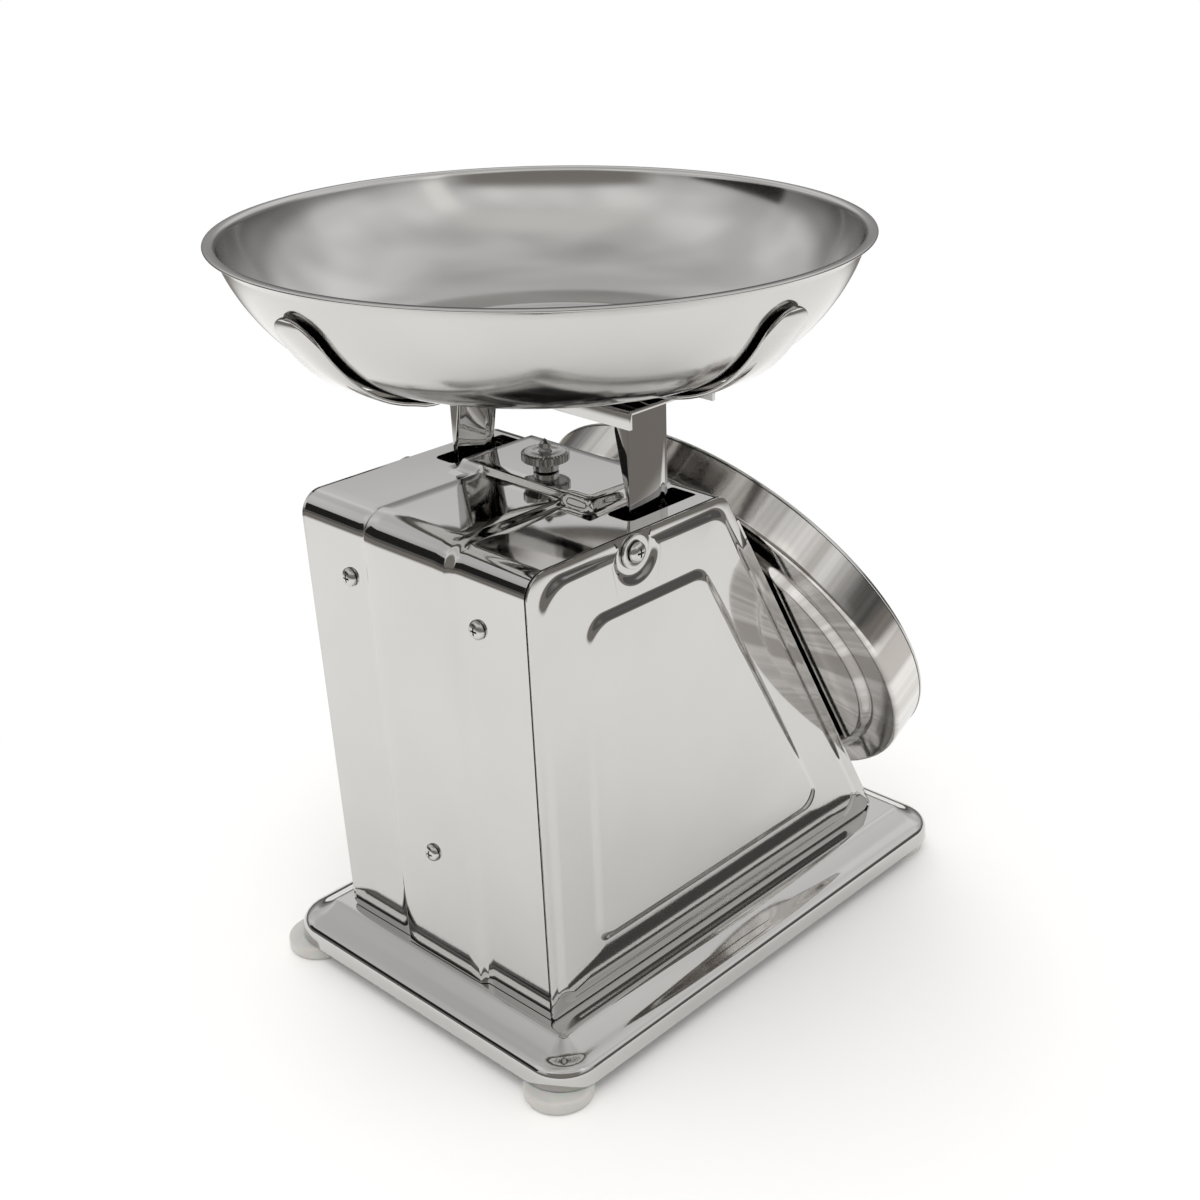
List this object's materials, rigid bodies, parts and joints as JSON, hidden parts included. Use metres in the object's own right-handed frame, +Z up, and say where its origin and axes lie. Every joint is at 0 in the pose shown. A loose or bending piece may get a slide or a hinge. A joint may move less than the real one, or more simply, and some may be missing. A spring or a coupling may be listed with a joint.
{
  "type": "kitchen scale",
  "caption": "Mechanical spring kitchen scale with a lift-off round bowl on a four-armed platform, a tapered metal housing and a tilted round dial.",
  "frame": {"origin": "on the floor, under the middle of the object's bounding box", "axes": "+Z up; the dial faces -Y and the rear cover faces +Y; +X is the dial reader's right"},
  "size_m": [0.23, 0.271, 0.2953],
  "materials": {
    "polished_steel": "mirror-polished stainless steel",
    "plated_steel": "plain plated steel, out of sight",
    "turned_brass": "turned and cut brass",
    "clear_rubber": "pale soft rubber, slightly translucent",
    "dial_paint": "off-white painted sheet",
    "dial_glass": "clear flat glass",
    "pointer_paint": "red painted sheet"
  },
  "bodies": {
    "housing": {"base_pan": "polished_steel", "base_plate": "plated_steel", "foot_rear_left": "clear_rubber", "foot_rear_right": "clear_rubber", "foot_front_left": "clear_rubber", "foot_front_right": "clear_rubber", "rear_top_cover": "polished_steel", "side_panel_left": "polished_steel", "side_panel_right": "polished_steel", "front_panel": "polished_steel", "inner_frame": "plated_steel", "upper_pivot_pin": "plated_steel", "lower_pivot_pin": "plated_steel", "rear_screw_left": "polished_steel", "rear_screw_right": "polished_steel", "rear_screw_lower": "polished_steel", "side_screw_left": "polished_steel", "side_screw_right": "polished_steel", "side_washer_left": "polished_steel", "side_washer_right": "polished_steel", "dial_case": "polished_steel", "case_screw_top": "polished_steel", "case_screw_left": "polished_steel", "case_screw_right": "polished_steel", "spindle_bush": "turned_brass", "dial_face": "dial_paint", "dial_glass": "dial_glass", "dial_bezel": "polished_steel", "movement_bridge": "plated_steel", "rack_guide": "turned_brass", "spring_left": "plated_steel", "spring_right": "plated_steel"},
    "platform": {"platform_channel": "polished_steel", "post_left": "polished_steel", "post_right": "polished_steel", "side_arms": "polished_steel", "cross_arms": "polished_steel", "spring_yoke": "plated_steel", "upper_link_pin": "plated_steel", "lower_link_pin": "plated_steel", "drive_arm": "plated_steel", "drive_pin": "plated_steel"},
    "bowl": {"weighing_bowl": "polished_steel"},
    "upper_lever_body": {"upper_lever": "plated_steel"},
    "lower_lever_body": {"lower_lever": "plated_steel"},
    "rack_body": {"rack": "turned_brass"},
    "needle": {"pinion_spindle": "turned_brass", "pointer": "pointer_paint", "pointer_cap": "turned_brass"},
    "nut": {"zero_nut": "polished_steel"},
    "hanger": {"zero_hanger": "plated_steel"}
  },
  "joints": [
    {"name": "platform_travel", "type": "slide", "parent": "housing", "child": "platform", "axis": [0, 0, 1], "range_m": [-0.015, 0], "stiffness_N_per_m": 3300, "springref_m": 0.004, "deforming": ["spring_left", "spring_right"]},
    {"name": "bowl_lift", "type": "slide", "parent": "platform", "child": "bowl", "axis": [0, 0, 1], "range_m": [0, 0.1]},
    {"name": "rack_slide", "type": "slide", "parent": "housing", "child": "rack_body", "axis": [0, -0.5012, -0.8653], "range_m": [0, 0.01743]},
    {"name": "needle_turn", "type": "hinge", "parent": "housing", "child": "needle", "pos_m": [0, -0.06115, 0.1125], "axis": [0, -0.8653, 0.5012], "range_deg": [-351, 0]},
    {"name": "upper_lever_turn", "type": "hinge", "parent": "housing", "child": "upper_lever_body", "pos_m": [0, 0.07385, 0.1625], "axis": [1, 0, 0], "range_deg": [0, 14.71]},
    {"name": "lower_lever_turn", "type": "hinge", "parent": "housing", "child": "lower_lever_body", "pos_m": [0, 0.07385, 0.1025], "axis": [1, 0, 0], "range_deg": [0, 14.71]},
    {"name": "nut_turn", "type": "hinge", "parent": "housing", "child": "nut", "pos_m": [0, 0.02585, 0.21], "axis": [0, 0, 1], "range_deg": [-360, 360]},
    {"name": "hanger_slide", "type": "slide", "parent": "housing", "child": "hanger", "axis": [0, 0, 1], "range_m": [-0.00075, 0.00075]}
  ],
  "couplings": [
    {"joint": "rack_slide", "follows": "platform_travel", "ratio": -1.1556},
    {"joint": "needle_turn", "follows": "platform_travel", "rad_per_m": 407.24},
    {"joint": "upper_lever_turn", "follows": "platform_travel", "rad_per_m": -17.001},
    {"joint": "lower_lever_turn", "follows": "platform_travel", "rad_per_m": -17.001},
    {"joint": "hanger_slide", "follows": "nut_turn", "m_per_rad": 0.000111}
  ]
}
